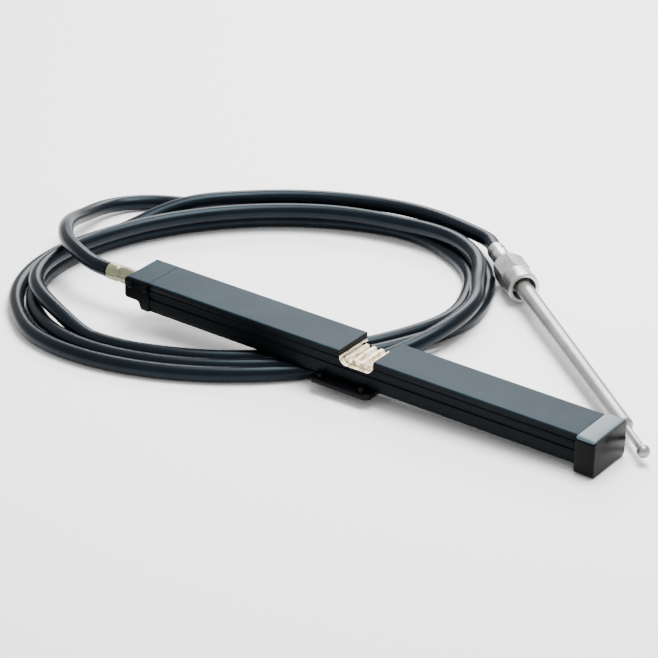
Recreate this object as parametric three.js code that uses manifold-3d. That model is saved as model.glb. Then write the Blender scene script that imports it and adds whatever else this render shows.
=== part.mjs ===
// Rack-type push-pull boat steering cable, lying coiled on a level floor.
// Millimetres, +Z up. +X runs along the rack housing towards its end cap.
import * as THREE from 'three';
import * as BufferGeometryUtils from 'three/addons/utils/BufferGeometryUtils.js';
import Module from 'manifold-3d';

const wasm = await Module();
wasm.setup();

// Fits
const GAP = 0.3;
const SLIDE_GAP = 0.5;
const SIDES = 32;

// Cable
const CABLE_D = 15.0;
const CABLE_R = CABLE_D / 2;
const CABLE_SIDES = 10;

// Rack housing section and length
const HOUSING_W = 45.5;
const HOUSING_H = 29.5;
const HOUSING_X0 = 7.3;
const HOUSING_X1 = 468.0;
const SIDE_WALL = 5.25;
const FLOOR_WALL = 6.0;
const CHANNEL_H = 15.4;
const RIB_DEPTH = 1.3;
const EDGE_CUT = 0.8;

// Opening over the rack where the helm's pinion gear reaches in
const WINDOW_X0 = 221.5;
const WINDOW_X1 = 258.5;
const WINDOW_DEPTH = 13.5;
const WINDOW_R = 9.0;

// Rack bar
const RACK_X0 = 214.0;
const RACK_END_CLEAR = 6.0;
const RACK_LEN = HOUSING_X1 - RACK_END_CLEAR - RACK_X0;
const RACK_W = HOUSING_W - 2 * SIDE_WALL - 2 * SLIDE_GAP;
const RACK_H = CHANNEL_H - 2 * SLIDE_GAP;
const TOOTH_PITCH = 8.0;
const TOOTH_H = 3.4;
const TRAVEL = 210.0;

// Cable-end block
const BLOCK_X0 = -21.0;
const BLOCK_X1 = HOUSING_X0 - GAP;
const BLOCK_OVER = 0.8;
const BLOCK_ROUND = 2.4;
const NOSE_RISE = 8.0;
const NOSE_LEN = 13.0;
const POCKET_X0 = RACK_X0 - TRAVEL - 6.0;
const SCREW_D = 7.0;
const SCREW_H = 2.2;
const SCREW_X = [-14.6, 2.6];
const SCREW_Z = HOUSING_H - 6.5;

// End cap
const CAP_X0 = HOUSING_X1 + GAP;
const CAP_X1 = 488.0;
const CAP_SIDE = 4.9;
const CAP_TOP = 0.8;
const CAP_DROP = 6.5;
const CAP_ROUND = 1.6;
const CAP_CORNER = 5.0;
const CAP_SETTLE = 0.07;

// Mount bracket
const PLATE_T = 5.0;
const PLATE_X0 = 214.0;
const EAR_X0 = 196.0;
const EAR_CUT = 4.0;
const PLATE_X1 = 261.0;
const EAR_Y0 = -11.0;
const EAR_Y1 = 3.0;
const PLATE_Y1 = 38.0;
const BOLT_X = [EAR_X0 + 9.0, PLATE_X1 - 11.0];
const BOLT_Y = -5.0;
const BOLT_AF = 6.0;
const BOLT_H = 3.4;

// Input ferrule
const IN_FERRULE_X0 = -59.0;
const IN_FERRULE_D = 16.5;
const IN_SEAT_GAP = 1.0;
const CABLE_AXIS_Y = HOUSING_W / 2;
const CABLE_AXIS_Z = HOUSING_H / 2;

// Rest pose: the housing lies on the strands at REST_X and on the cap's low edge
const REST_X = 201.0;
const TILT = Math.asin((CABLE_D + GAP - CAP_DROP) / (CAP_X1 - REST_X));

// Coil: an ellipse turned in plan, with lanes beside and above one another
const COIL_X = 41.7;
const COIL_Y = 124.1;
const COIL_A = 222.7;
const COIL_B = 164.0;
const COIL_TURN = THREE.MathUtils.degToRad(42.9);
const STATIONS = [0, 20, 40, 60, 80, 100, 120, 140, 160, 178, 190, 202, 214, 232, 252, 272, 290, 308, 324, 342];
const EXTRA_STATIONS = [92, 110, 330];
const FIRST_STATION = 20;
const LAST_STATION = 1160;

// Lane control points: unrolled angle in degrees, offset from the ellipse, height
const LANES = [
  [9, 16, 20.6], [20, 15, 21.8], [60, 13, 22.8], [92, 12, 23.4], [100, 11.5, 23.4],
  [110, 11, 17], [120, 8.5, 8.6], [128, 8.5, 7.5], [182, 8.5, 7.5], [210, 16.5, 7.5],
  [292, 16, 7.5], [308, 17, 18.5], [318, 14.5, 22.4], [330, 4, 23.6], [345, -9, 21.6],
  [372, -9, 21.6], [384, -14, 24.0], [400, -17.5, 21.4], [490, -17.5, 21.2], [526, -12, 23.1],
  [538, -11.5, 23.1], [550, -15.4, 21.6], [562, -18, 16.8], [574, -18, 8.4], [586, -16.8, 7.5],
  [652, -16.5, 7.5], [668, -14.8, 7.5], [684, -12, 7.5], [700, -17.5, 7.5], [732, -17.5, 7.5],
  [760, -8.5, 7.5], [894, -8.5, 7.5], [910, -7, 7.5], [922, -4.3, 7.5], [934, -1.5, 7.5],
  [952, 0, 7.5], [1012, 0, 7.5], [1028, 2, 7.5], [1044, 5, 7.5], [1062, -0.5, 7.5],
  [1088, -0.5, 7.5], [1110, 6.5, 7.5], [1122, 8.5, 7.5], [1160, 8.5, 7.5],
];

// Small loop that carries the cable up to the block
const LEAD = [
  [-84, 250.5, 7.5], [-120, 241, 7.5], [-149, 231.5, 7.5], [-171, 217, 8], [-186.5, 196, 9.5],
  [-191.5, 172, 12.5], [-188, 146, 17], [-180, 119, 24], [-167, 93, 32], [-149, 67.5, 38.5],
  [-125, 44.5, 41], [-101, 31.5, 41], [-78, 24.2, 38.9],
];

// Output end: axis from the cable's end to the ball
const OUT_START = new THREE.Vector3(195.9, 304.3, 20.0);
const OUT_BALL = new THREE.Vector3(507.9, 45.7, 12.05);
const OUT_STRAIGHT = 20.0;
const OUT_FERRULE_LEN = 36.0;
const OUT_FERRULE_D = 18.0;
const NUT_S0 = OUT_FERRULE_LEN + GAP;
const NUT_HEX_S1 = 66.0;
const NUT_S1 = 88.0;
const NUT_AF = 28.6;
const NUT_COLLAR_D = 31.0;
const NUT_MOUTH_D = 22.0;
const NUT_MOUTH_S0 = 71.0;
const NUT_THREAD_PITCH = 2.0;
const NUT_THREAD_DEPTH = 0.8;
const SUPPORT_D = 12.6;
const SUPPORT_BORE = 8.0;
const SUPPORT_S1 = 330.0;
const RAM_D = 15.9;
const RAM_BORE = 13.4;
const RAM_S0 = 77.0;
const RAM_S1 = 362.0;
const RAM_END_T = 8.0;
const NECK_D = 7.0;
const BALL_D = 12.0;

const finish = (color, metalness, roughness) =>
  new THREE.MeshStandardMaterial({ color, metalness, roughness });

const FINISH = {
  housing: finish(0x43626f, 0.5, 0.4),
  black: finish(0x17191c, 0.3, 0.4),
  cap: finish(0x7d969e, 0.5, 0.45),
  zinc: finish(0xc8cdc8, 0.9, 0.35),
  yellowZinc: finish(0x9a9150, 0.8, 0.35),
  steel: finish(0xc8c6c4, 0.9, 0.25),
  rack: finish(0xcfc3a6, 0.5, 0.45),
  rubber: finish(0x14171f, 0.0, 0.5),
};

const root = new THREE.Group();
root.name = 'boat_steering_cable';

function addPiece(name, geometry, material) {
  const mesh = new THREE.Mesh(geometry, material.clone());
  mesh.name = name;
  root.add(mesh);
}

function toSolid(geometry) {
  const merged = BufferGeometryUtils.mergeVertices(strip(geometry), 1e-4);
  return new wasm.Manifold(new wasm.Mesh({
    numProp: 3,
    vertProperties: new Float32Array(merged.attributes.position.array),
    triVerts: new Uint32Array(merged.index.array),
  }));
}

function strip(geometry) {
  const copy = geometry.clone();
  copy.deleteAttribute('normal');
  copy.deleteAttribute('uv');
  return copy;
}

function toGeometry(solid) {
  const mesh = solid.getMesh();
  const geometry = new THREE.BufferGeometry();
  geometry.setAttribute('position', new THREE.BufferAttribute(mesh.vertProperties, 3));
  geometry.setIndex(new THREE.BufferAttribute(mesh.triVerts, 1));
  geometry.computeVertexNormals();
  return geometry;
}

function box(x0, x1, y0, y1, z0, z1) {
  const geometry = new THREE.BoxGeometry(x1 - x0, y1 - y0, z1 - z0);
  geometry.translate((x0 + x1) / 2, (y0 + y1) / 2, (z0 + z1) / 2);
  return geometry;
}

// A section drawn in (y, z) and run along x from x0 to x1
function alongX(shape, x0, x1, bevel = 0) {
  const geometry = new THREE.ExtrudeGeometry(shape, {
    depth: x1 - x0 - 2 * bevel,
    bevelEnabled: bevel > 0,
    bevelThickness: bevel,
    bevelSize: bevel,
    bevelOffset: -bevel,
    bevelSegments: 3,
    curveSegments: 6,
  });
  geometry.translate(0, 0, bevel);
  const basis = new THREE.Matrix4().makeBasis(
    new THREE.Vector3(0, 1, 0), new THREE.Vector3(0, 0, 1), new THREE.Vector3(1, 0, 0));
  geometry.applyMatrix4(basis);
  geometry.translate(x0, 0, 0);
  return geometry;
}

// An outline drawn in (x, z) and run along y from y0 to y1
function alongY(shape, y0, y1) {
  const geometry = new THREE.ExtrudeGeometry(shape, {
    depth: y1 - y0,
    bevelEnabled: false,
    curveSegments: 8,
  });
  geometry.rotateX(Math.PI / 2);
  geometry.translate(0, y1, 0);
  return geometry;
}

function polygon(points) {
  return new THREE.Shape(points.map(([u, v]) => new THREE.Vector2(u, v)));
}

function roundedRect(u0, u1, v0, v1, r) {
  const shape = new THREE.Shape();
  shape.moveTo(u0 + r, v0);
  shape.lineTo(u1 - r, v0);
  shape.absarc(u1 - r, v0 + r, r, -Math.PI / 2, 0, false);
  shape.lineTo(u1, v1 - r);
  shape.absarc(u1 - r, v1 - r, r, 0, Math.PI / 2, false);
  shape.lineTo(u0 + r, v1);
  shape.absarc(u0 + r, v1 - r, r, Math.PI / 2, Math.PI, false);
  shape.lineTo(u0, v0 + r);
  shape.absarc(u0 + r, v0 + r, r, Math.PI, 1.5 * Math.PI, false);
  return shape;
}

// A turned profile of [radius, s] pairs about +Z
function turned(profile, sides = SIDES) {
  const points = profile.map(([r, s]) => new THREE.Vector2(r, s));
  const geometry = new THREE.LatheGeometry(points, sides);
  geometry.rotateX(Math.PI / 2);
  geometry.scale(1, -1, 1);
  const index = geometry.index.array;
  for (let i = 0; i < index.length; i += 3) {
    [index[i], index[i + 1]] = [index[i + 1], index[i]];
  }
  return BufferGeometryUtils.mergeVertices(strip(geometry), 1e-4);
}

// Housing frame to floor frame: lean the +X end down, then lift to the strands
const housingPose = new THREE.Matrix4().makeRotationY(TILT);
housingPose.setPosition(0, 0, CAP_DROP * Math.cos(TILT) + CAP_X1 * Math.sin(TILT) - CAP_SETTLE);

// Output frame: s along +Z turned onto the output axis
const outDirection = OUT_BALL.clone().sub(OUT_START).normalize();
const BALL_S = OUT_BALL.distanceTo(OUT_START);
const outPose = new THREE.Matrix4().makeRotationFromQuaternion(
  new THREE.Quaternion().setFromUnitVectors(new THREE.Vector3(0, 0, 1), outDirection));
outPose.setPosition(OUT_START);

function inHousing(name, geometry, material) {
  geometry.applyMatrix4(housingPose);
  addPiece(name, geometry, material);
}

function onOutput(name, geometry, material) {
  geometry.applyMatrix4(outPose);
  addPiece(name, geometry, material);
}

function housingSection() {
  const w = HOUSING_W;
  const h = HOUSING_H;
  const d = RIB_DEPTH;
  const e = EDGE_CUT;
  const side = [
    [d, 0], [d, 3.2], [0, 4.0], [0, 12.6], [d, 13.4], [d, 15.6], [0, 16.4],
    [0, 21.6], [e, 22.2], [e, 23.0], [0, 23.6], [0, h - e], [e, h],
  ];
  const front = side.map(([y, z]) => [y, z]);
  const back = side.map(([y, z]) => [w - y, z]).reverse();
  const shape = polygon([...back.slice().reverse(), ...front.slice().reverse()]);
  const hole = polygon([
    [SIDE_WALL, FLOOR_WALL], [SIDE_WALL, FLOOR_WALL + CHANNEL_H],
    [w - SIDE_WALL, FLOOR_WALL + CHANNEL_H], [w - SIDE_WALL, FLOOR_WALL],
  ]);
  shape.holes.push(hole);
  return shape;
}

function windowCutter() {
  const z0 = HOUSING_H - WINDOW_DEPTH;
  const shape = new THREE.Shape();
  shape.moveTo(WINDOW_X0, HOUSING_H + 5);
  shape.lineTo(WINDOW_X0, z0 + WINDOW_R);
  shape.absarc(WINDOW_X0 + WINDOW_R, z0 + WINDOW_R, WINDOW_R, Math.PI, 1.5 * Math.PI, false);
  shape.lineTo(WINDOW_X1 - WINDOW_R, z0);
  shape.absarc(WINDOW_X1 - WINDOW_R, z0 + WINDOW_R, WINDOW_R, 1.5 * Math.PI, 2 * Math.PI, false);
  shape.lineTo(WINDOW_X1, HOUSING_H + 5);
  return alongY(shape, -5, HOUSING_W + 5);
}

function buildHousing() {
  const body = toSolid(alongX(housingSection(), HOUSING_X0, HOUSING_X1));
  const cut = body.subtract(toSolid(windowCutter()));
  inHousing('rack_housing', toGeometry(cut), FINISH.housing);
}

function buildRack() {
  const z0 = FLOOR_WALL + SLIDE_GAP;
  const z1 = z0 + RACK_H;
  const x1 = RACK_X0 + RACK_LEN;
  const points = [[RACK_X0, z0], [x1, z0], [x1, z1]];
  const teeth = Math.floor(RACK_LEN / TOOTH_PITCH) - 1;
  for (let i = teeth - 1; i >= 0; i -= 1) {
    const x = RACK_X0 + (i + 1) * TOOTH_PITCH;
    points.push([x + 0.30 * TOOTH_PITCH, z1], [x + 0.12 * TOOTH_PITCH, z1 - TOOTH_H]);
    points.push([x - 0.12 * TOOTH_PITCH, z1 - TOOTH_H], [x - 0.30 * TOOTH_PITCH, z1]);
  }
  points.push([RACK_X0, z1]);
  const y0 = SIDE_WALL + SLIDE_GAP;
  inHousing('rack_bar', alongY(polygon(points), y0, y0 + RACK_W), FINISH.rack);
}

function blockOutline() {
  const shape = new THREE.Shape();
  shape.moveTo(BLOCK_X1, 0);
  shape.lineTo(BLOCK_X1, HOUSING_H);
  shape.lineTo(BLOCK_X0 + 4, HOUSING_H);
  shape.absarc(BLOCK_X0 + 4, HOUSING_H - 4, 4, Math.PI / 2, Math.PI, false);
  shape.lineTo(BLOCK_X0, NOSE_RISE + 3);
  shape.absarc(BLOCK_X0 + 3, NOSE_RISE + 3, 3, Math.PI, 1.5 * Math.PI, false);
  shape.lineTo(BLOCK_X0 + NOSE_LEN, NOSE_RISE);
  shape.bezierCurveTo(BLOCK_X0 + NOSE_LEN + 5, NOSE_RISE, BLOCK_X0 + NOSE_LEN + 4, 0, -1, 0);
  return shape;
}

function buildBlock() {
  const outline = toSolid(alongY(blockOutline(), -BLOCK_OVER, HOUSING_W + BLOCK_OVER));
  const section = roundedRect(-BLOCK_OVER, HOUSING_W + BLOCK_OVER, -2 * BLOCK_ROUND, HOUSING_H, BLOCK_ROUND);
  const body = outline.intersect(toSolid(alongX(section, BLOCK_X0 - 5, BLOCK_X1 + 5)));
  const pocket = toSolid(box(POCKET_X0, BLOCK_X1 + 5, SIDE_WALL, HOUSING_W - SIDE_WALL,
    FLOOR_WALL, FLOOR_WALL + CHANNEL_H));
  inHousing('cable_end_block', toGeometry(body.subtract(pocket)), FINISH.black);
}

function screwHead() {
  const r = SCREW_D / 2;
  return turned([[0, 0], [r, 0], [r, SCREW_H * 0.45], [r * 0.72, SCREW_H * 0.9], [0, SCREW_H]], 20);
}

function buildScrews() {
  SCREW_X.forEach((x, i) => {
    const head = screwHead();
    head.rotateX(Math.PI / 2);
    head.translate(x, -BLOCK_OVER - GAP, SCREW_Z);
    inHousing('block_screw_' + (i + 1), head, FINISH.zinc);
  });
}

function buildCap() {
  const section = roundedRect(-CAP_SIDE, HOUSING_W + CAP_SIDE, -CAP_DROP, HOUSING_H + CAP_TOP, CAP_CORNER);
  inHousing('end_cap', alongX(section, CAP_X0, CAP_X1, CAP_ROUND), FINISH.cap);
}

function buildBracket() {
  const shape = polygon([
    [EAR_X0, EAR_Y0 + EAR_CUT], [EAR_X0 + EAR_CUT, EAR_Y0], [PLATE_X1 - EAR_CUT, EAR_Y0],
    [PLATE_X1, EAR_Y0 + EAR_CUT], [PLATE_X1, PLATE_Y1],
    [PLATE_X0, PLATE_Y1], [PLATE_X0, EAR_Y1], [EAR_X0, EAR_Y1],
  ]);
  const geometry = new THREE.ExtrudeGeometry(shape, { depth: PLATE_T, bevelEnabled: false });
  geometry.translate(0, 0, -PLATE_T - GAP);
  inHousing('mount_bracket', geometry, FINISH.black);
}

function buildBolts() {
  BOLT_X.forEach((x, i) => {
    const bolt = turned([
      [0, 0], [BOLT_AF * 0.62, 0], [BOLT_AF * 0.62, 0.8], [BOLT_AF * 0.55, 0.8],
      [BOLT_AF * 0.55, BOLT_H - 0.6], [BOLT_AF * 0.45, BOLT_H], [0, BOLT_H],
    ], 6);
    bolt.translate(x, BOLT_Y, 0);
    inHousing('bracket_bolt_' + (i + 1), bolt, FINISH.zinc);
  });
}

function buildInputFerrule() {
  const len = BLOCK_X0 - GAP - IN_FERRULE_X0 - IN_SEAT_GAP;
  const r = IN_FERRULE_D / 2;
  const sleeve = turned([
    [0, 0], [r - 1.0, 0], [r, 1.2], [r, 12], [r - 0.7, 13], [r - 0.7, 16], [r, 17],
    [r, len - 1.5], [r - 0.5, len], [0, len],
  ]);
  sleeve.applyMatrix4(new THREE.Matrix4().makeBasis(
    new THREE.Vector3(0, 1, 0), new THREE.Vector3(0, 0, 1), new THREE.Vector3(1, 0, 0)));
  sleeve.translate(IN_FERRULE_X0 + IN_SEAT_GAP, CABLE_AXIS_Y, CABLE_AXIS_Z);
  inHousing('input_ferrule', sleeve, FINISH.yellowZinc);
}

function laneAt(angle) {
  const i = LANES.findIndex((lane) => angle <= lane[0]);
  const [a0, off0, z0] = LANES[Math.max(i - 1, 0)];
  const [a1, off1, z1] = LANES[i];
  const t = a1 > a0 ? (angle - a0) / (a1 - a0) : 0;
  const s = t * t * (3 - 2 * t);
  return [off0 + (off1 - off0) * s, z0 + (z1 - z0) * s];
}

function coilPoint(angle) {
  const [off, z] = laneAt(angle);
  const psi = THREE.MathUtils.degToRad(angle);
  const u = (COIL_A + off) * Math.cos(psi);
  const v = (COIL_B + off) * Math.sin(psi);
  const c = Math.cos(COIL_TURN);
  const s = Math.sin(COIL_TURN);
  return new THREE.Vector3(COIL_X + u * c - v * s, COIL_Y + u * s + v * c, z);
}

function cablePoints() {
  const angles = [...EXTRA_STATIONS];
  for (let turn = 0; turn < 4; turn += 1) {
    for (const station of STATIONS) {
      angles.push(turn * 360 + station);
    }
  }
  const kept = angles.filter((a) => a >= FIRST_STATION && a <= LAST_STATION).sort((a, b) => a - b);
  const end = new THREE.Vector3(IN_FERRULE_X0, CABLE_AXIS_Y, CABLE_AXIS_Z).applyMatrix4(housingPose);
  return [
    OUT_START.clone(),
    OUT_START.clone().addScaledVector(outDirection, -OUT_STRAIGHT),
    ...kept.map(coilPoint),
    ...LEAD.map(([x, y, z]) => new THREE.Vector3(x, y, z)),
    end,
  ];
}

// A curve whose stations are exactly the listed points
class StationCurve extends THREE.CatmullRomCurve3 {
  getPointAt(u, target) {
    return this.getPoint(u, target);
  }

  getTangentAt(u, target) {
    return this.getTangent(u, target);
  }

  getSpacedPoints(n) {
    return this.getPoints(n);
  }
}

function buildCable() {
  const points = cablePoints();
  const path = new StationCurve(points, false, 'centripetal');
  const section = new THREE.Shape();
  for (let i = 0; i < CABLE_SIDES; i += 1) {
    const a = (i * 2 * Math.PI) / CABLE_SIDES;
    const p = [CABLE_R * Math.cos(a), CABLE_R * Math.sin(a)];
    if (i === 0) {
      section.moveTo(p[0], p[1]);
    } else {
      section.lineTo(p[0], p[1]);
    }
  }
  const geometry = new THREE.ExtrudeGeometry(section, {
    steps: points.length - 1,
    extrudePath: path,
    bevelEnabled: false,
  });
  addPiece('cable', geometry, FINISH.rubber);
}

function buildOutputFerrule() {
  const r = OUT_FERRULE_D / 2;
  const len = OUT_FERRULE_LEN;
  const profile = [
    [0, GAP], [r - 1.5, GAP], [r - 0.3, 1.6], [r, 3.0], [r, 9], [r - 0.8, 10], [r - 0.8, 13],
    [r, 14], [r, 21], [r - 0.8, 22], [r - 0.8, 25], [r, 26], [r, len - 1], [r - 0.6, len], [0, len],
  ];
  onOutput('output_ferrule', turned(profile), FINISH.zinc);
}

function nutHex() {
  const hex = new THREE.Shape();
  const r = NUT_AF / 2 / Math.cos(Math.PI / 6);
  for (let i = 0; i < 6; i += 1) {
    const a = (i * Math.PI) / 3 + Math.PI / 6;
    if (i === 0) {
      hex.moveTo(r * Math.cos(a), r * Math.sin(a));
    } else {
      hex.lineTo(r * Math.cos(a), r * Math.sin(a));
    }
  }
  const geometry = new THREE.ExtrudeGeometry(hex, { depth: NUT_HEX_S1 + 0.5 - NUT_S0, bevelEnabled: false });
  geometry.translate(0, 0, NUT_S0);
  return geometry;
}

function buildNut() {
  const corner = NUT_AF / 2 / Math.cos(Math.PI / 6);
  const flat = NUT_AF / 2;
  const mouth = NUT_MOUTH_D / 2;
  const envelope = turned([
    [0, NUT_S0], [flat - 2.0, NUT_S0], [flat - 0.4, NUT_S0 + 1.4], [corner + 0.2, NUT_S0 + 5.5],
    [corner + 0.2, NUT_HEX_S1 - 2], [flat - 0.3, NUT_HEX_S1], [0, NUT_HEX_S1],
  ]);
  const collar = turned([
    [0, NUT_HEX_S1 - 3], [flat - 1, NUT_HEX_S1 - 3], [flat - 1, NUT_HEX_S1 + 0.5],
    [NUT_COLLAR_D / 2, NUT_HEX_S1 + 2], [NUT_COLLAR_D / 2, NUT_S1 - 1], [NUT_COLLAR_D / 2 - 1, NUT_S1],
    [0, NUT_S1],
  ]);
  const bore = [[0, NUT_S0 - 5], [SUPPORT_D / 2 + SLIDE_GAP, NUT_S0 - 5],
    [SUPPORT_D / 2 + SLIDE_GAP, NUT_MOUTH_S0], [mouth, NUT_MOUTH_S0], [mouth, NUT_MOUTH_S0 + 4]];
  const grooves = Math.floor((NUT_S1 - 2 - (NUT_MOUTH_S0 + 4)) / NUT_THREAD_PITCH);
  for (let i = 0; i < grooves; i += 1) {
    const s = NUT_MOUTH_S0 + 4 + i * NUT_THREAD_PITCH;
    bore.push([mouth + NUT_THREAD_DEPTH, s + NUT_THREAD_PITCH / 2], [mouth, s + NUT_THREAD_PITCH]);
  }
  bore.push([mouth + 1, NUT_S1 + 0.2], [mouth + 1, NUT_S1 + 5], [0, NUT_S1 + 5]);
  const body = toSolid(nutHex()).intersect(toSolid(envelope)).add(toSolid(collar));
  onOutput('coupling_nut', toGeometry(body.subtract(toSolid(turned(bore)))), FINISH.zinc);
}

function buildSupportTube() {
  const s0 = OUT_FERRULE_LEN + GAP;
  const r = SUPPORT_D / 2;
  const bore = SUPPORT_BORE / 2;
  const profile = [[bore, s0], [r, s0], [r, SUPPORT_S1 - 1], [r - 0.6, SUPPORT_S1], [bore, SUPPORT_S1], [bore, s0]];
  onOutput('support_tube', turned(profile), FINISH.steel);
}

function buildRam() {
  const r = RAM_D / 2;
  const bore = RAM_BORE / 2;
  const ball = BALL_D / 2;
  const neck = NECK_D / 2;
  const profile = [
    [0, RAM_S1 - RAM_END_T], [bore, RAM_S1 - RAM_END_T], [bore, RAM_S0], [r - 0.4, RAM_S0],
    [r, RAM_S0 + 0.6], [r, RAM_S1 - 2.2], [r - 1.8, RAM_S1], [neck, RAM_S1 + 0.6],
  ];
  const start = Math.asin(neck / ball);
  for (let i = 0; i <= 10; i += 1) {
    const a = Math.PI - start - (i * (Math.PI - start)) / 10;
    profile.push([Math.max(ball * Math.sin(a), 0), BALL_S + ball * Math.cos(a)]);
  }
  profile[profile.length - 1][0] = 0;
  onOutput('output_ram', turned(profile), FINISH.steel);
}

buildHousing();
buildRack();
buildBlock();
buildScrews();
buildCap();
buildBracket();
buildBolts();
buildInputFerrule();
buildCable();
buildOutputFerrule();
buildNut();
buildSupportTube();
buildRam();

// Origin under the middle of everything but the cable, on the floor
root.updateMatrixWorld(true);
const extent = new THREE.Box3();
root.children.filter((mesh) => mesh.name !== 'cable').forEach((mesh) => extent.expandByObject(mesh));
root.children.forEach((mesh) => {
  mesh.geometry.translate(-(extent.min.x + extent.max.x) / 2, -(extent.min.y + extent.max.y) / 2, -extent.min.z);
});

export default root;
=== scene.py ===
"""Rack-type boat steering cable, coiled on a pale floor under soft studio light."""
import math

import bmesh
import bpy
import numpy as np
from mathutils import Matrix, Vector


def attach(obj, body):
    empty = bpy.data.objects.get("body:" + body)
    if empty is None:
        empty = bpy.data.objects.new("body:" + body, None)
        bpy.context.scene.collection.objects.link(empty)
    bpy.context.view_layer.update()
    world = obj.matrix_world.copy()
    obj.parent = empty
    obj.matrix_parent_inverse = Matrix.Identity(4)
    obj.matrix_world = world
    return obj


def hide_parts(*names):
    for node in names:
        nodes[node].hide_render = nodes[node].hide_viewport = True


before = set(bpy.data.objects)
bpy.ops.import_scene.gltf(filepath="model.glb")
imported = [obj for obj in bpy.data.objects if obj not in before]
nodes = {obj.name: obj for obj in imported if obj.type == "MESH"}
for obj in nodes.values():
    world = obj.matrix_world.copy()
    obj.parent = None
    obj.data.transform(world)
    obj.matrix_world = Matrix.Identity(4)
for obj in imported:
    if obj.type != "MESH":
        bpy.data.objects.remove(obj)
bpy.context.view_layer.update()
MM = 0.001
WHITE = (1.0, 1.0, 1.0, 1.0)

# Photograph: image size and focal length in pixels, place of the camera in millimetres, pitch and heading
IMAGE = 658
FOCAL = 2868.0
SENSOR_W = 36.0
CAMERA_AT = (1293.2, -2012.1, 1202.5)
CLIP_NEAR, CLIP_FAR = 0.1, 50.0
PITCH = math.radians(26.6)
HEADING = math.radians(35.11)

# Plan place of the part's own origin, from the input end's corner of the housing
SHIFT = (-228.073, -149.479, 0.021)

# Cable and its coil, as the CAD source has them.
# A lane is an angle along the coil in degrees, then the offset outwards and the height in millimetres.
CABLE_D = 15.0
COIL_AT = (41.7, 124.1)
COIL_A, COIL_B = 222.7, 164.0
COIL_TURN = math.radians(42.9)
STATIONS = [
    0, 20, 40, 60, 80, 100, 120, 140, 160, 178,
    190, 202, 214, 232, 252, 272, 290, 308, 324, 342,
]
EXTRA_STATIONS = [92, 110, 330]
FIRST_STATION, LAST_STATION = 20, 1160
LANES = [
    (9, 16, 20.6), (20, 15, 21.8), (60, 13, 22.8), (92, 12, 23.4), (100, 11.5, 23.4),
    (110, 11, 17), (120, 8.5, 8.6), (128, 8.5, 7.5), (182, 8.5, 7.5), (210, 16.5, 7.5),
    (292, 16, 7.5), (308, 17, 18.5), (318, 14.5, 22.4), (330, 4, 23.6), (345, -9, 21.6),
    (372, -9, 21.6), (384, -14, 24.0), (400, -17.5, 21.4), (490, -17.5, 21.2), (526, -12, 23.1),
    (538, -11.5, 23.1), (550, -15.4, 21.6), (562, -18, 16.8), (574, -18, 8.4), (586, -16.8, 7.5),
    (652, -16.5, 7.5), (668, -14.8, 7.5), (684, -12, 7.5), (700, -17.5, 7.5), (732, -17.5, 7.5),
    (760, -8.5, 7.5), (894, -8.5, 7.5), (910, -7, 7.5), (922, -4.3, 7.5), (934, -1.5, 7.5),
    (952, 0, 7.5), (1012, 0, 7.5), (1028, 2, 7.5), (1044, 5, 7.5), (1062, -0.5, 7.5),
    (1088, -0.5, 7.5), (1110, 6.5, 7.5), (1122, 8.5, 7.5), (1160, 8.5, 7.5),
]
LEAD = [
    (-84, 250.5, 7.5), (-120, 241, 7.5), (-149, 231.5, 7.5), (-171, 217, 8), (-186.5, 196, 9.5),
    (-191.5, 172, 12.5), (-188, 146, 17), (-180, 119, 24), (-167, 93, 32), (-149, 67.5, 38.5),
    (-125, 44.5, 41), (-101, 31.5, 41), (-78, 24.2, 38.9),
]
CABLE_END = (-58.5, 22.75, 37.9)
OUT_START = Vector((195.9, 304.3, 20.0))
OUT_BALL = Vector((507.9, 45.7, 12.05))
OUT_STRAIGHT = 20.0
ROUTE_STEPS = 9
JACKET_RESOLUTION = 6
TURNS_STARTED = 4

# Housing section and its window, in the housing's own leaning frame
TILT = 0.0306668
HOUSING_LIFT = 21.389
HOUSING_W, HOUSING_H = 45.5, 29.5
WINDOW_X0, WINDOW_X1 = 221.5, 258.5
WINDOW_MARGIN = 1.0
CUT_FROM_Z = 12.0
# Bands under the tops of the housing and block whose upward faces get the lighter top colour, which is
# painted light from above
PAINTED_LIGHT_TOP_BAND = 3.0
BLOCK_PAINTED_LIGHT_TOP_BAND = 2.0

# Edges of the solids: angles in degrees, merging distance in metres
SHARP_FROM = 28.0
FLAT_BELOW = 0.6
MERGE_WITHIN = 1e-6
BEVEL_SEGMENTS = 2

# Floor, in metres
FLOOR_HALF = 8.0
FLOOR_DROP = 0.0002

# Texture scales and grain depth of the finishes
NOISE_DETAIL = 4.0
DRIFT_SCALE = 30.0
GRAIN_DEPTH = 0.0003


def camera():
    data = bpy.data.cameras.new("photo_camera")
    data.sensor_width = SENSOR_W
    data.lens = SENSOR_W * FOCAL / IMAGE
    data.clip_start = CLIP_NEAR
    data.clip_end = CLIP_FAR
    cam = bpy.data.objects.new("photo_camera", data)
    bpy.context.scene.collection.objects.link(cam)
    cam.location = Vector(CAMERA_AT) * MM
    level = math.cos(PITCH)
    ahead = Vector((-math.sin(HEADING) * level, math.cos(HEADING) * level, -math.sin(PITCH)))
    cam.rotation_mode = "QUATERNION"
    cam.rotation_quaternion = ahead.to_track_quat("-Z", "Y")
    bpy.context.scene.camera = cam


def place(x, y, z):
    """A point of the CAD source, in millimetres, as a point of the scene."""
    return Vector(((x + SHIFT[0]) * MM, (y + SHIFT[1]) * MM, (z + SHIFT[2]) * MM))


# Cable route

def lane_at(angle):
    """Offset and height of the coil at an angle, eased from one lane to the next."""
    for (a0, off0, z0), (a1, off1, z1) in zip(LANES, LANES[1:]):
        if angle <= a1:
            t = (angle - a0) / (a1 - a0)
            s = t * t * (3 - 2 * t)
            return off0 + (off1 - off0) * s, z0 + (z1 - z0) * s
    return LANES[-1][1:]


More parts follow.
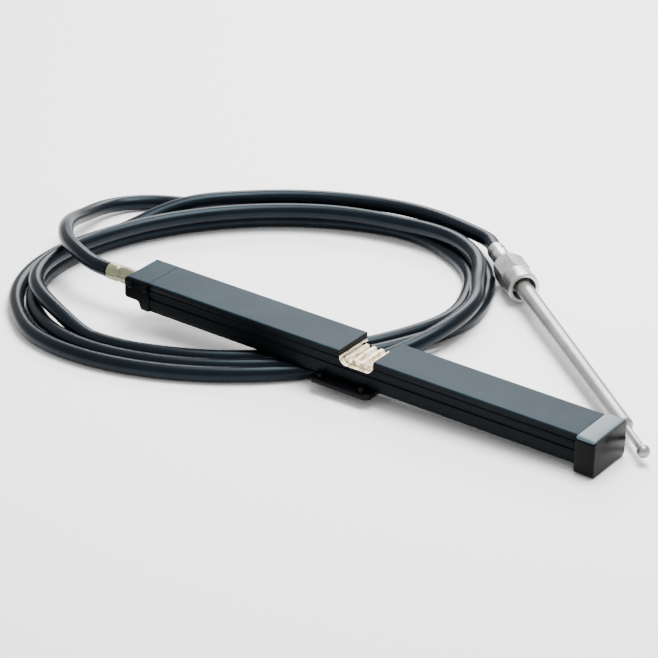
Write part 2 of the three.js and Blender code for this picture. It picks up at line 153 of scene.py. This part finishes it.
def coil_point(angle):
    off, z = lane_at(angle)
    psi = math.radians(angle)
    u = (COIL_A + off) * math.cos(psi)
    v = (COIL_B + off) * math.sin(psi)
    c = math.cos(COIL_TURN)
    s = math.sin(COIL_TURN)
    return (COIL_AT[0] + u * c - v * s, COIL_AT[1] + u * s + v * c, z)


def route_points():
    angles = EXTRA_STATIONS + [turn * 360 + s for turn in range(TURNS_STARTED) for s in STATIONS]
    kept = sorted(a for a in angles if FIRST_STATION <= a <= LAST_STATION)
    out = (OUT_BALL - OUT_START).normalized()
    points = [tuple(OUT_START), tuple(OUT_START - out * OUT_STRAIGHT)]
    points += [coil_point(a) for a in kept] + LEAD + [CABLE_END]
    return np.array(points)


def smooth_route(points, steps):
    """Natural cubic spline through the points, with the chord length as its parameter."""
    h = np.linalg.norm(np.diff(points, axis=0), axis=1)
    n = len(points)
    a = np.zeros((n, n))
    b = np.zeros((n, 3))
    a[0, 0] = a[-1, -1] = 1.0
    for i in range(1, n - 1):
        a[i, i - 1], a[i, i], a[i, i + 1] = h[i - 1], 2 * (h[i - 1] + h[i]), h[i]
        b[i] = 6 * ((points[i + 1] - points[i]) / h[i] - (points[i] - points[i - 1]) / h[i - 1])
    m = np.linalg.solve(a, b)
    dense = []
    for i in range(n - 1):
        for k in range(steps):
            t = k / steps
            u = 1 - t
            bend = ((u ** 3 - u) * m[i] + (t ** 3 - t) * m[i + 1]) * h[i] ** 2 / 6
            dense.append(u * points[i] + t * points[i + 1] + bend)
    dense.append(points[-1])
    return dense


def cable():
    laid = smooth_route(route_points(), ROUTE_STEPS)
    route = [place(x, y, max(z, CABLE_D / 2)) for x, y, z in laid]
    curve = bpy.data.curves.new("cable_jacket", "CURVE")
    curve.dimensions = "3D"
    curve.bevel_depth = CABLE_D / 2 * MM
    curve.bevel_resolution = JACKET_RESOLUTION
    curve.use_fill_caps = True
    spline = curve.splines.new("POLY")
    spline.points.add(len(route) - 1)
    for point, co in zip(spline.points, route):
        point.co = (*co, 1.0)
    spline.use_smooth = True
    piece = bpy.data.objects.new("cable_jacket", curve)
    bpy.context.scene.collection.objects.link(piece)
    curve.materials.append(rubber())
    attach(piece, "housing")
    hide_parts("cable")


# Materials

def material(name, color, metallic, roughness, **sockets):
    mat = bpy.data.materials.new(name)
    mat.use_nodes = True
    shader = mat.node_tree.nodes["Principled BSDF"]
    shader.inputs["Base Color"].default_value = (*color, 1.0)
    shader.inputs["Metallic"].default_value = metallic
    shader.inputs["Roughness"].default_value = roughness
    for label, value in sockets.items():
        shader.inputs[label.replace("_", " ")].default_value = value
    return mat


def noise(mat, scale, stretch=(1, 1, 1), roughness=0.55):
    tree = mat.node_tree
    where = tree.nodes.new("ShaderNodeTexCoord")
    mapping = tree.nodes.new("ShaderNodeMapping")
    mapping.inputs["Scale"].default_value = stretch
    node = tree.nodes.new("ShaderNodeTexNoise")
    node.inputs["Scale"].default_value = scale
    node.inputs["Detail"].default_value = NOISE_DETAIL
    node.inputs["Roughness"].default_value = roughness
    tree.links.new(where.outputs["Object"], mapping.inputs["Vector"])
    tree.links.new(mapping.outputs["Vector"], node.inputs["Vector"])
    return node.outputs["Fac"]


def ramp(mat, fac, stops):
    node = mat.node_tree.nodes.new("ShaderNodeValToRGB")
    elements = node.color_ramp.elements
    while len(elements) < len(stops):
        elements.new(0.5)
    for element, (at, color) in zip(elements, stops):
        element.position = at
        element.color = (*color, 1.0)
    mat.node_tree.links.new(fac, node.inputs["Fac"])
    return node.outputs["Color"]


def into(mat, output, socket):
    mat.node_tree.links.new(output, mat.node_tree.nodes["Principled BSDF"].inputs[socket])


def vary_roughness(mat, fac, low, high):
    node = mat.node_tree.nodes.new("ShaderNodeMapRange")
    node.inputs["To Min"].default_value = low
    node.inputs["To Max"].default_value = high
    mat.node_tree.links.new(fac, node.inputs["Value"])
    into(mat, node.outputs["Result"], "Roughness")


def bump(mat, fac, strength, distance):
    node = mat.node_tree.nodes.new("ShaderNodeBump")
    node.inputs["Strength"].default_value = strength
    node.inputs["Distance"].default_value = distance
    mat.node_tree.links.new(fac, node.inputs["Height"])
    into(mat, node.outputs["Normal"], "Normal")


def finished(name, dark, light, metallic, rough, grain, grain_scale, stretch=(1, 1, 1), **sockets):
    """A base colour that drifts between two tones, with a fine grain in roughness and bump."""
    mat = material(name, light, metallic, sum(rough) / 2, **sockets)
    into(mat, ramp(mat, noise(mat, DRIFT_SCALE), [(0.3, dark), (0.7, light)]), "Base Color")
    fine = noise(mat, grain_scale, stretch=stretch)
    vary_roughness(mat, fine, *rough)
    bump(mat, fine, grain, GRAIN_DEPTH)
    return mat


def rubber():
    return finished("cable_rubber", (0.0010, 0.0018, 0.003), (0.0025, 0.004, 0.0065), 0.0,
                    (0.28, 0.36), 0.12, 900.0,
                    Specular_IOR_Level=0.16, Specular_Tint=(0.62, 0.84, 1.0, 1.0))


# Painted light: a lighter blue-grey copy of the housing's near-black paint, for the upward faces that the
# overhead lamps light
def lit_top_painted_light():
    return finished("housing_top_painted_light", (0.004, 0.013, 0.020), (0.007, 0.019, 0.028), 0.0,
                    (0.42, 0.55), 0.1, 1500.0, Specular_IOR_Level=0.07)


def side_paint():
    return finished("housing_side_paint", (0.0008, 0.0012, 0.0016), (0.002, 0.003, 0.004), 0.0,
                    (0.35, 0.45), 0.08, 1200.0,
                    Specular_IOR_Level=0.06, Specular_Tint=(0.75, 0.9, 1.0, 1.0))


def gloss_black():
    return finished("gloss_black_paint", (0.0008, 0.001, 0.0014), (0.0016, 0.002, 0.0026), 0.0,
                    (0.22, 0.3), 0.05, 600.0, Specular_IOR_Level=0.06)


# Painted light: a lighter blue-grey copy of the cap's black, for its upward faces lit from above
def cap_lit_top_painted_light():
    return finished("cap_top_painted_light", (0.030, 0.056, 0.070), (0.055, 0.09, 0.108), 0.0,
                    (0.4, 0.5), 0.08, 1200.0)


def greased_rack():
    mat = material("greased_rack", (0.85, 0.80, 0.68), 0.1, 0.4)
    streaks = noise(mat, 240.0, stretch=(1.6, 0.5, 1.0), roughness=0.7)
    tones = [
        (0.34, (0.20, 0.13, 0.06)),
        (0.45, (0.62, 0.47, 0.27)),
        (0.55, (0.86, 0.80, 0.66)),
        (0.68, (0.96, 0.95, 0.90)),
    ]
    into(mat, ramp(mat, streaks, tones), "Base Color")
    vary_roughness(mat, streaks, 0.28, 0.5)
    bump(mat, streaks, 0.5, 0.0008)
    return mat


def bright_zinc():
    return finished("bright_zinc", (0.24, 0.25, 0.24), (0.60, 0.61, 0.59), 0.85, (0.28, 0.42), 0.2, 500.0)


def yellow_zinc():
    return finished("yellow_zinc", (0.08, 0.085, 0.05), (0.34, 0.34, 0.22), 0.8, (0.25, 0.4), 0.15, 400.0)


def satin_steel():
    return finished("satin_steel", (0.23, 0.225, 0.22), (0.34, 0.33, 0.325), 0.7, (0.3, 0.4), 0.1, 700.0,
                    stretch=(1.0, 1.0, 8.0))


# Pieces

def refined(node, name, bevel, body):
    """A finer copy of a CAD solid, with its sharp edges rounded."""
    mesh = nodes[node].data.copy()
    mesh.name = name
    mesh.materials.clear()
    bm = bmesh.new()
    bm.from_mesh(mesh)
    bmesh.ops.remove_doubles(bm, verts=bm.verts, dist=MERGE_WITHIN)
    bmesh.ops.dissolve_limit(bm, angle_limit=math.radians(FLAT_BELOW), verts=bm.verts, edges=bm.edges)
    for face in bm.faces:
        face.smooth = True
    bm.to_mesh(mesh)
    bm.free()
    mesh.set_sharp_from_angle(angle=math.radians(SHARP_FROM))
    piece = bpy.data.objects.new(name, mesh)
    bpy.context.scene.collection.objects.link(piece)
    if bevel:
        mod = piece.modifiers.new("edges", "BEVEL")
        mod.width = bevel * MM
        mod.segments = BEVEL_SEGMENTS
        mod.limit_method = "ANGLE"
        mod.angle_limit = math.radians(SHARP_FROM)
        mod.harden_normals = True
    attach(piece, body)
    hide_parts(node)
    return piece


def in_housing(point):
    """A point of the part in the housing's own frame, in millimetres."""
    x, y, z = (point / MM) - Vector(SHIFT)
    c = math.cos(TILT)
    s = math.sin(TILT)
    z -= HOUSING_LIFT
    return Vector((x * c - z * s, y, x * s + z * c))


def paint_faces(piece, mats, choose):
    """Give each face one of the materials, from its place in the housing's frame and its normal."""
    for mat in mats:
        piece.data.materials.append(mat)
    for face in piece.data.polygons:
        face.material_index = choose(in_housing(face.center), face.normal)


def housing(painted_lit_top, side, bare):
    piece = refined("rack_housing", "housing_body", 0.35, "housing")

    def choose(at, normal):
        in_window = WINDOW_X0 - WINDOW_MARGIN < at.x < WINDOW_X1 + WINDOW_MARGIN and at.z > CUT_FROM_Z
        on_ledge = abs(normal.y) < 0.5 and normal.z > 0.2 and at.y < HOUSING_W / 2
        if in_window and on_ledge:
            return 2
        # Upward faces near the top get the lighter copy, as painted light from above
        if normal.z > 0.7 and at.z > HOUSING_H - PAINTED_LIGHT_TOP_BAND:
            return 0
        return 1

    paint_faces(piece, [painted_lit_top, side, bare], choose)


def block(painted_lit_top, gloss):
    piece = refined("cable_end_block", "block_body", 0.6, "housing")
    # Upward faces of the block's top get the lighter copy, as painted light; the rest stays gloss black
    lowest = HOUSING_H - BLOCK_PAINTED_LIGHT_TOP_BAND
    paint_faces(piece, [painted_lit_top, gloss], lambda at, n: 0 if n.z > 0.8 and at.z > lowest else 1)


def cap(painted_lit_top, gloss):
    piece = refined("end_cap", "cap_body", 0.0, "housing")
    # Upward faces get the lighter copy as painted light; the rest stays gloss black
    paint_faces(piece, [painted_lit_top, gloss], lambda at, n: 0 if n.z > 0.55 else 1)


def plain(node, name, bevel, body, mat):
    piece = refined(node, name, bevel, body)
    piece.data.materials.append(mat)


# Studio

def floor():
    mesh = bpy.data.meshes.new("studio_floor")
    bm = bmesh.new()
    bmesh.ops.create_grid(bm, x_segments=1, y_segments=1, size=FLOOR_HALF)
    bm.to_mesh(mesh)
    bm.free()
    piece = bpy.data.objects.new("studio_floor", mesh)
    bpy.context.scene.collection.objects.link(piece)
    piece.location.z = -FLOOR_DROP
    mesh.materials.append(material("studio_white", (0.97, 0.97, 0.97), 0.0, 0.8))


def area_light(name, at, size, power):
    """A white softbox that faces the part."""
    data = bpy.data.lights.new(name, "AREA")
    data.shape = "RECTANGLE"
    data.size = size[0]
    data.size_y = size[1]
    data.energy = power
    light = bpy.data.objects.new(name, data)
    bpy.context.scene.collection.objects.link(light)
    light.location = at
    light.rotation_mode = "QUATERNION"
    light.rotation_quaternion = (-Vector(at)).to_track_quat("-Z", "Y")


def studio():
    world = bpy.data.worlds.new("studio_world")
    bpy.context.scene.world = world
    world.use_nodes = True
    shade = world.node_tree.nodes["Background"]
    shade.inputs["Color"].default_value = WHITE
    shade.inputs["Strength"].default_value = 1.0
    area_light("softbox_top", (0.1, 0.3, 1.6), (1.2, 0.9), 75.0)
    area_light("softbox_back", (-0.9, 1.5, 1.1), (1.2, 0.7), 45.0)


camera()
cable()
painted_lit_top = lit_top_painted_light()
side = side_paint()
gloss = gloss_black()
zinc = bright_zinc()
steel = satin_steel()
rack = greased_rack()
housing(painted_lit_top, side, rack)
block(painted_lit_top, gloss)
cap(cap_lit_top_painted_light(), gloss)
plain("rack_bar", "rack_teeth", 0.3, "rack", rack)
plain("mount_bracket", "bracket_plate", 1.2, "housing", gloss)
plain("bracket_bolt_1", "bracket_bolt_head_1", 0.3, "housing", gloss)
plain("bracket_bolt_2", "bracket_bolt_head_2", 0.3, "housing", gloss)
plain("block_screw_1", "block_screw_head_1", 0.4, "housing", gloss)
plain("block_screw_2", "block_screw_head_2", 0.4, "housing", gloss)
plain("input_ferrule", "input_sleeve", 0.15, "housing", yellow_zinc())
plain("output_ferrule", "output_sleeve", 0.2, "housing", zinc)
plain("coupling_nut", "nut_body", 0.25, "nut", zinc)
plain("support_tube", "inner_tube", 0.0, "housing", steel)
plain("output_ram", "ram_tube", 0.0, "ram", steel)
floor()
studio()
